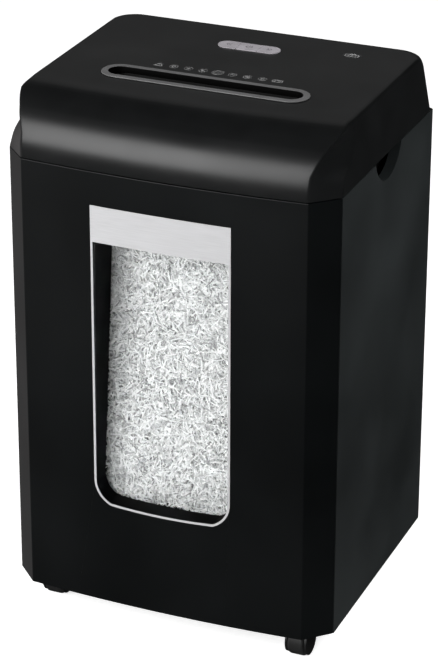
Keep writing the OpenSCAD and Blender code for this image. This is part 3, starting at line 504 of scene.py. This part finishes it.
# How far the cutting prisms start inside a wall's face and end outside it
CUT_INSIDE = 8 * MM
CUT_OUTSIDE = 5 * MM
# Makes a round hole barely longer than wide, so that no two points of its outline coincide
ROUND_STRETCH = 0.01 * MM


def between(points, at):
    """Value at a place along straight lines from point to point; the points are in millimetres."""
    at = at / MM
    for (a, u), (b, v) in zip(points, points[1:]):
        if at <= b:
            t = max(0.0, (at - a) / (b - a))
            return (u + (v - u) * t) * MM
    return points[-1][1] * MM


def rounding(height, radius):
    """How far a rounded top edge has drawn in at the given height above the cover's edge."""
    rise = height - (HEAD_TOP - HEAD_LOW - radius)
    if rise <= 0:
        return 0.0
    return radius - math.sqrt(max(0.0, radius * radius - rise * rise))


def bend(a, corner, b, steps):
    """Points of a small fillet from a to b round the corner, without a itself."""
    points = []
    for i in range(1, steps + 1):
        t = i / steps
        points.append(a * (1 - t) ** 2 + corner * (2 * t * (1 - t)) + b * t * t)
    return points


def half_outline(height):
    """Right half of the cover's plan at a height, from the front middle to the rear middle."""
    bow_half = HALF_WIDTH - CORNER_CUT
    bow_radius = (bow_half ** 2 + FRONT_BOW ** 2) / (2 * FRONT_BOW)
    axis = FRONT_CORNER_Y - FRONT_BOW + bow_radius
    reach = bow_radius - rounding(height, FRONT_ROUND)
    side = HALF_WIDTH - SIDE_LEAN * height / (HEAD_TOP - HEAD_LOW) - rounding(height, SIDE_EDGE)
    rear = REAR_Y - rounding(height, REAR_EDGE)

    def front(x):
        return Vector((x, axis - math.sqrt(reach * reach - x * x)))

    inner = front(min(between(CORNER_FRONT_X, height), side - 1.5 * MM))
    outer = Vector((side, between(CORNER_SIDE_Y, height)))
    band = (outer - inner).normalized() * CREASE
    points = [front((inner.x - CREASE) * i / FRONT_STEPS) for i in range(FRONT_STEPS + 1)]
    points += bend(points[-1], inner, inner + band, CREASE_STEPS)
    points += [(inner + band).lerp(outer - band, i / BAND_STEPS) for i in range(1, BAND_STEPS + 1)]
    points += bend(outer - band, outer, outer + Vector((0, CREASE)), CREASE_STEPS)
    radius = REAR_CORNER[0] + (REAR_CORNER[1] - REAR_CORNER[0]) * height / (HEAD_TOP - HEAD_LOW)
    turn_at = Vector((side - radius, rear - radius))
    start = points[-1]
    side_end = turn_at + Vector((radius, 0))
    points += [start.lerp(side_end, i / SIDE_STEPS) for i in range(1, SIDE_STEPS + 1)]
    for i in range(1, TURN_STEPS + 1):
        angle = math.pi / 2 * i / TURN_STEPS
        points.append(turn_at + Vector((math.cos(angle), math.sin(angle))) * radius)
    points += [Vector((turn_at.x * (1 - i / SIDE_STEPS), rear)) for i in range(1, SIDE_STEPS + 1)]
    return points


def head_heights():
    """Heights of the cover's rings: even turns round the front, closer near the top edges."""
    full = HEAD_TOP - HEAD_LOW
    heights = {0.0, 2 * MM}
    for radius, steps in ((FRONT_ROUND, 22), (REAR_EDGE, 6), (SIDE_EDGE, 6)):
        heights |= {full - radius * (1 - math.sin(math.pi / 2 * i / steps)) for i in range(steps + 1)}
    ordered = sorted(heights)
    kept = [ordered[0]]
    for height in ordered[1:]:
        if height - kept[-1] > 0.25 * MM:
            kept.append(height)
    kept[-1] = full
    return kept


def head_skin():
    """Outer surface of the cover: a ring of points for each height, closed over by the deck."""
    verts, faces = [], []
    heights = head_heights()
    for height in heights:
        right = half_outline(height)
        left = [Vector((-p.x, p.y)) for p in reversed(right[1:-1])]
        verts += [(p.x, p.y, HEAD_LOW + height) for p in right + left]
    count = len(verts) // len(heights)
    for ring in range(len(heights) - 1):
        for i in range(count):
            a, b = ring * count + i, ring * count + (i + 1) % count
            faces.append((a, b, b + count, a + count))
    faces.append(tuple(range(len(verts) - count, len(verts))))
    return verts, faces


def prism(points, along, low, high):
    """Closed prism over an outline; along is the axis it runs on."""
    def place(u, v, w):
        return (u, v, w) if along == "z" else (u, w, v)
    count = len(points)
    verts = [place(u, v, w) for w in (low, high) for u, v in points]
    faces = [tuple(reversed(range(count))), tuple(range(count, 2 * count))]
    faces += [(i, (i + 1) % count, count + (i + 1) % count, count + i) for i in range(count)]
    if along != "z":
        faces = [tuple(reversed(face)) for face in faces]
    return verts, faces


def pill_points(x, y, length, width, steps=24):
    """Outline of a bar along X whose ends are half circles."""
    radius = width / 2
    points = []
    for sign in (1, -1):
        centre = x + sign * (length / 2 - radius)
        for i in range(steps + 1):
            angle = math.pi * i / steps - math.pi / 2
            points.append((centre + sign * radius * math.cos(angle), y + sign * radius * math.sin(angle)))
    return points


def box_points(x, z, width, height):
    """Corners of a rectangle round a middle point."""
    return [(x - width / 2, z - height / 2), (x + width / 2, z - height / 2),
            (x + width / 2, z + height / 2), (x - width / 2, z + height / 2)]


def head_holes():
    """All holes of the cover as one mesh of prisms."""
    holes = []

    def through_deck(points):
        holes.append(prism(points, "z", HEAD_TOP - CUT_INSIDE, HEAD_TOP + CUT_OUTSIDE))

    slot = middle(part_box("slot_bezel"))
    through_deck(pill_points(slot.x, slot.y, *SLOT_HOLE))
    button = middle(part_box("power_button"))
    through_deck(pill_points(button.x, button.y, *BUTTON_HOLE))
    centres, _ = lens_centres()
    for kind, (x, y) in zip(SYMBOLS, centres):
        size = MIDDLE_LENS if kind == "disc" else 2 * LENS_RADIUS
        through_deck(pill_points(x, y, size + ROUND_STRETCH, size))
    low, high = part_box("status_lamp")
    lamp = middle((low, high))
    through_deck(pill_points(lamp.x, lamp.y, high.x - low.x, high.y - low.y))
    for x, width, height in REAR_HOLES:
        points = box_points(x, REAR_HOLES_Z, width, height)
        holes.append(prism(points, "y", REAR_Y - CUT_INSIDE, REAR_Y + CUT_OUTSIDE))
    verts, faces = [], []
    for piece_verts, piece_faces in holes:
        start = len(verts)
        verts += piece_verts
        faces += [tuple(start + i for i in face) for face in piece_faces]
    return verts, faces


def head_cover(made):
    """The cover as a smooth shell with its holes, in place of the CAD node."""
    verts, faces = head_skin()
    skin = new_piece("head_shell", verts, faces, made["head_shell"], "housing", ["head_cover"])
    verts, faces = head_holes()
    mesh = bpy.data.meshes.new("head_holes")
    mesh.from_pydata(verts, [], faces)
    cutter = bpy.data.objects.new("head_holes", mesh)
    bpy.context.scene.collection.objects.link(cutter)
    solid = skin.modifiers.new("shell", "SOLIDIFY")
    solid.thickness = SHELL
    solid.offset = -1
    solid.use_even_offset = True
    cut = skin.modifiers.new("holes", "BOOLEAN")
    cut.operation = "DIFFERENCE"
    cut.solver = "EXACT"
    cut.object = cutter
    bpy.context.view_layer.update()
    evaluated = skin.evaluated_get(bpy.context.evaluated_depsgraph_get())
    result = bpy.data.meshes.new_from_object(evaluated)
    skin.modifiers.clear()
    skin.data = result
    bpy.data.objects.remove(cutter)
    result.shade_smooth()
    result.set_sharp_from_angle(angle=EDGE_ANGLE)
    skin.modifiers.new("shade", "WEIGHTED_NORMAL").keep_sharp = True


# ---------- status symbols and button marks ----------

SYMBOL_LINE = 0.75 * MM
MARK_LINE = 0.55 * MM
PRINT_RELIEF = 0.1 * MM
SYMBOL_HALF = 4.8 * MM
MIDDLE_SYMBOL_HALF = 6.6 * MM


def symbol_lines(art, kind, centre, size):
    """One small generic pictogram inside its lens."""
    x, y = centre
    def at(u, v):
        return (x + u * size, y + v * size)
    if kind == "triangle":
        art.path([at(-1, -0.8), at(1, -0.8), at(0, 0.9)], closed=True)
        art.path([at(0, 0.3), at(0, -0.3)])
        return
    if kind == "card":
        art.path([at(-1.2, -0.6), at(1.2, -0.6), at(1.2, 0.6), at(-1.2, 0.6)], closed=True)
        art.path([at(-0.6, -0.6), at(-0.6, 0.6)])
        art.path([at(0.1, 0.1), at(0.8, 0.1)])
        return
    art.ring(centre, size)
    if kind == "sheet":
        art.path([at(-0.35, -0.5), at(0.35, -0.5), at(0.35, 0.3), at(0.1, 0.5), at(-0.35, 0.5)],
                 closed=True)
    elif kind == "clip":
        art.path([at(-0.25, -0.4), at(-0.25, 0.45), at(0.25, 0.45), at(0.25, -0.2), at(0, -0.2),
                  at(0, 0.2)])
    elif kind == "bar":
        art.path([at(-0.6, 0.6), at(0.6, -0.6)])
        art.path([at(-0.4, -0.1), at(0.1, -0.5)])
    elif kind == "disc":
        art.ring(centre, size * 0.72)
        art.ring(centre, size * 0.45)
        art.ring(centre, size * 0.2, steps=16)
    elif kind == "wave":
        art.path([at(-0.6, -0.2), at(-0.2, 0.3), at(0.2, -0.3), at(0.6, 0.2)])
    elif kind == "star":
        for turn in range(3):
            angle = math.pi * turn / 3
            u, v = 0.55 * math.cos(angle), 0.55 * math.sin(angle)
            art.path([at(-u, -v), at(u, v)])
    elif kind == "bin":
        art.path([at(-0.4, 0.4), at(-0.25, -0.5), at(0.25, -0.5), at(0.4, 0.4)], closed=True)


def status_symbols(made):
    """The pictograms on the status lenses."""
    centres, top = lens_centres()
    for index, (kind, centre) in enumerate(zip(SYMBOLS, centres)):
        size = MIDDLE_SYMBOL_HALF if kind == "disc" else SYMBOL_HALF
        art = Lines(top, SYMBOL_LINE, PRINT_RELIEF)
        symbol_lines(art, kind, centre, size)
        art.piece(f"status_symbol_{index + 1}", made["print_grey"], "housing", "lens")


def lamp_symbol(made):
    """A box with a peak over it and three strokes in it, on the status lamp."""
    low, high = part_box("status_lamp")
    x, y = middle((low, high)).x, middle((low, high)).y
    art = Lines(high.z, SYMBOL_LINE, PRINT_RELIEF)
    w, d = 8 * MM, 4 * MM
    art.path([(x - w, y - d), (x + w, y - d), (x + w, y + d * 0.5), (x - w, y + d * 0.5)], closed=True)
    art.path([(x - w * 0.5, y + d * 0.9), (x, y + d * 1.4), (x + w * 0.5, y + d * 0.9)], closed=True)
    for k in (-1, 0, 1):
        art.path([(x + k * w * 0.5, y - d * 0.5), (x + k * w * 0.5 + w * 0.15, y)])
    art.piece("lamp_symbol", made["print_grey"], "housing", "lens")


def button_marks(made):
    """Double arrows on the outer buttons and a power mark on the middle one."""
    for name, sign in (("reverse_button", -1), ("forward_button", 1)):
        low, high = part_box(name)
        x, y = middle((low, high)).x - sign * 1.5 * MM, middle((low, high)).y
        art = Lines(high.z, MARK_LINE, PRINT_RELIEF)
        for k in (0, 1):
            x0 = x + sign * (k * 3.2 - 2.6) * MM
            art.path([(x0, y + 2.6 * MM), (x0 + sign * 2.6 * MM, y), (x0, y - 2.6 * MM)])
        art.piece(f"{name}_mark", made["print_dark"], name, "key_grey")
    low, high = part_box("power_button")
    x, y = middle((low, high)).x, middle((low, high)).y
    art = Lines(high.z, MARK_LINE, PRINT_RELIEF)
    art.ring((x, y), 3.6 * MM, 24, math.radians(125), math.radians(290))
    art.path([(x, y + 0.6 * MM), (x, y + 4.2 * MM)])
    art.piece("power_button_mark", made["print_dark"], "power_button", "key_grey")


# ---------- shredded paper ----------

STRIP_LENGTH = (10 * MM, 20 * MM)
STRIP_WIDTH = (1.1 * MM, 1.7 * MM)
STRIP_STEPS = 3
# Shares of strips in white paper and in its two darker copies, which are painted shade
STRIP_SHARES = (0.68, 0.22, 0.10)
# Behind the window and on top of the heap: how many strips, the seed of their draws, the spread
# of their two tilts and of their curl
WINDOW_STRIPS = 15000
WINDOW_SEED = 11
WINDOW_TILTS = (0.35, 0.5)
WINDOW_CURL = 0.1
HEAP_STRIPS = 9000
HEAP_SEED = 12
HEAP_TILTS = (0.28, 0.35)
HEAP_CURL = 0.09
# The heap's loose strips: how far they lift off it, how far they stay behind its front, and the
# height and steepness from which its faces count as its top
HEAP_LIFT = 6 * MM
HEAP_SETBACK = 6 * MM
HEAP_TOP_Z = 360 * MM
HEAP_TOP_NORMAL = 0.5
# The heap's core: its voxels, how far it is drawn in, and the height and two scales of its lumps
CORE_VOXEL = 6 * MM
CORE_INSET = 5.5 * MM
CORE_LUMP = 4 * MM
CORE_SCALES = ((45, 0.5), (130, 0.3))
# The window: clearance behind the pane, depth of the strewn layer, edge margin, corner radius
PANE_GAP = 0.5 * MM
WINDOW_LAYER = 7 * MM
PANE_MARGIN = 0.8 * MM
PANE_CORNER = 33 * MM
# The pane's lowest stretch and top edge, and the lean by which the lowest rear corner is told
PANE_FOOT = 80 * MM
PANE_EDGE = 2 * MM
PANE_LEAN = 0.09


def heap_core(made):
    """The heap's body: the CAD solid made lumpy and drawn in, under the loose strips, in dark grey paper
    as painted shade between them.
    """
    source = nodes["shredded_paper"]
    core = bpy.data.objects.new("heap_core", source.data.copy())
    bpy.context.scene.collection.objects.link(core)
    core.data.materials.clear()
    # Dark grey paper: painted shade seen between the loose strips
    core.data.materials.append(made["shreds_dim"])
    remesh = core.modifiers.new("remesh", "REMESH")
    remesh.mode = "VOXEL"
    remesh.voxel_size = CORE_VOXEL
    bpy.context.view_layer.update()
    evaluated = core.evaluated_get(bpy.context.evaluated_depsgraph_get())
    mesh = bpy.data.meshes.new_from_object(evaluated)
    core.modifiers.clear()
    core.data = mesh
    normals = [v.normal.copy() for v in mesh.vertices]
    for vertex, normal in zip(mesh.vertices, normals):
        lump = sum(noise.noise(vertex.co * scale) * share for scale, share in CORE_SCALES)
        vertex.co -= normal * (CORE_INSET + lump * CORE_LUMP)
    for face in mesh.polygons:
        face.use_smooth = True
    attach(core, "bin")
    return core


def strip_verts(centre, normal, turn, tilt, length, width, curl):
    """Cross-sections of one bent strip that lies roughly across normal."""
    side = normal.orthogonal().normalized()
    along = Matrix.Rotation(turn, 3, normal) @ side
    across = normal.cross(along)
    along = Matrix.Rotation(tilt[0], 3, across) @ along
    across = Matrix.Rotation(tilt[1], 3, along) @ across
    out = along.cross(across)
    verts = []
    for i in range(STRIP_STEPS + 1):
        t = i / STRIP_STEPS - 0.5
        spine = centre + along * (t * length) + out * (curl * (t * t * 4 - 0.33) * length)
        verts += [spine - across * width / 2, spine + across * width / 2]
    return verts


def strew(verts, quads, rng, centre, normal, tilts, curl, keep):
    """Adds one strip about centre at a random turn; keep() moves a vertex clear of its walls."""
    tilt = (rng.gauss(0, tilts[0]), rng.gauss(0, tilts[1]))
    strip = strip_verts(centre, normal, rng.uniform(0, 2 * math.pi), tilt,
                        rng.uniform(*STRIP_LENGTH), rng.uniform(*STRIP_WIDTH), rng.gauss(0, curl))
    start = len(verts)
    verts += [keep(v) for v in strip]
    quads += [(start + 2 * i, start + 2 * i + 1, start + 2 * i + 3, start + 2 * i + 2)
              for i in range(STRIP_STEPS)]


def strips_piece(name, verts, quads, made, rng):
    """The strips as one piece, each in one of the paper shades; most stay white, and the darker ones are
    painted shade.
    """
    piece = new_piece(name, verts, quads, made["shreds"], "bin")
    for shade in ("shreds_mid", "shreds_dim"):
        piece.data.materials.append(made[shade])
    faces = piece.data.polygons
    for first in range(0, len(faces), STRIP_STEPS):
        shade = rng.choices((0, 1, 2), STRIP_SHARES)[0]
        for face in faces[first:first + STRIP_STEPS]:
            face.material_index = shade
    return piece


def pane_plane():
    """A point low on the pane's rear face, and the direction from that face towards the heap."""
    low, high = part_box("window_pane")
    corners = [v.co for v in nodes["window_pane"].data.vertices]
    foot = [v for v in corners if v.z < low.z + PANE_FOOT]
    head = [v for v in corners if v.z > high.z - PANE_EDGE]
    bottom_back = max(foot, key=lambda v: v.y - v.z * PANE_LEAN)
    top_back = max(head, key=lambda v: v.y)
    up = Vector((0, top_back.y - bottom_back.y, top_back.z - bottom_back.z)).normalized()
    return bottom_back.copy(), Vector((0, up.z, -up.y))


def window_strips(made, count, seed):
    """Strips pressed against the window: strewn in a thin layer behind the pane's rear face."""
    rng = random.Random(seed)
    low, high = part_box("window_pane")
    point, inwards = pane_plane()
    round_r = PANE_CORNER - PANE_MARGIN
    low_z, half = low.z + PANE_MARGIN, high.x - PANE_MARGIN

    def keep(v):
        depth = (v - point).dot(inwards)
        if depth < PANE_GAP:
            v = v + inwards * (PANE_GAP - depth)
        v.x = min(max(v.x, -half), half)
        v.z = max(v.z, low_z)
        centre = Vector((math.copysign(half - round_r, v.x), low_z + round_r))
        out = Vector((v.x, v.z)) - centre
        if abs(v.x) > half - round_r and v.z < centre.y and out.length > round_r:
            out = out.normalized() * round_r
            v.x, v.z = centre.x + out.x, centre.y + out.y
        return v

    verts, quads = [], []
    for _ in range(count):
        place = Vector((rng.uniform(-half, half), 0, rng.uniform(low_z, high.z)))
        place.y = point.y - (place.z - point.z) * inwards.z / inwards.y
        place += inwards * (PANE_GAP + rng.uniform(0, WINDOW_LAYER))
        strew(verts, quads, rng, place, -inwards, WINDOW_TILTS, WINDOW_CURL, keep)
    return strips_piece("window_shreds", verts, quads, made, rng)


def heap_strips(core, made, count, seed):
    """Strips lying loose on top of the heap's core."""
    rng = random.Random(seed)
    low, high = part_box("shredded_paper")
    mesh = core.data

    def keep(v):
        v.x = min(max(v.x, low.x), high.x)
        v.y = min(max(v.y, low.y + HEAP_SETBACK), high.y)
        return v

    faces = [f for f in mesh.polygons if f.normal.z > HEAP_TOP_NORMAL and f.center.z > HEAP_TOP_Z]
    verts, quads = [], []
    for face in rng.choices(faces, [f.area for f in faces], k=count):
        corners = [mesh.vertices[i].co for i in face.vertices]
        weights = [rng.random() for _ in corners]
        total = sum(weights)
        centre = sum((c * (w / total) for c, w in zip(corners, weights)), Vector())
        centre += face.normal * rng.uniform(0, HEAP_LIFT)
        strew(verts, quads, rng, centre, face.normal, HEAP_TILTS, HEAP_CURL, keep)
    return strips_piece("heap_shreds", verts, quads, made, rng)


def shredded_heap(made):
    """The core and its loose strips, in place of the CAD's plain solid."""
    core = heap_core(made)
    window_strips(made, WINDOW_STRIPS, WINDOW_SEED)
    top = heap_strips(core, made, HEAP_STRIPS, HEAP_SEED)
    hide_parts("shredded_paper")


# ---------- build ----------

bpy.context.scene.view_settings.view_transform = "Standard"
make_camera()
materials = make_materials()
dress_nodes(materials)
head_cover(materials)
status_symbols(materials)
lamp_symbol(materials)
button_marks(materials)
shredded_heap(materials)
make_world()
make_floor()
make_backdrop()
area_light("front_softbox", (-0.36, -0.83, 0.40), 2.6, (1.8, 1.5), 72)
area_light("rear_softbox", (-0.2, 0.84, 0.5), 4.0, (4.0, 1.6), 4)
area_light("right_softbox", (0.85, 0.1, 0.8), 3.0, (1.2, 1.2), 60, mirrored=False)
area_light("left_softbox", (-0.95, 0.3, 0.5), 3.0, (1.2, 1.4), 10, mirrored=False)
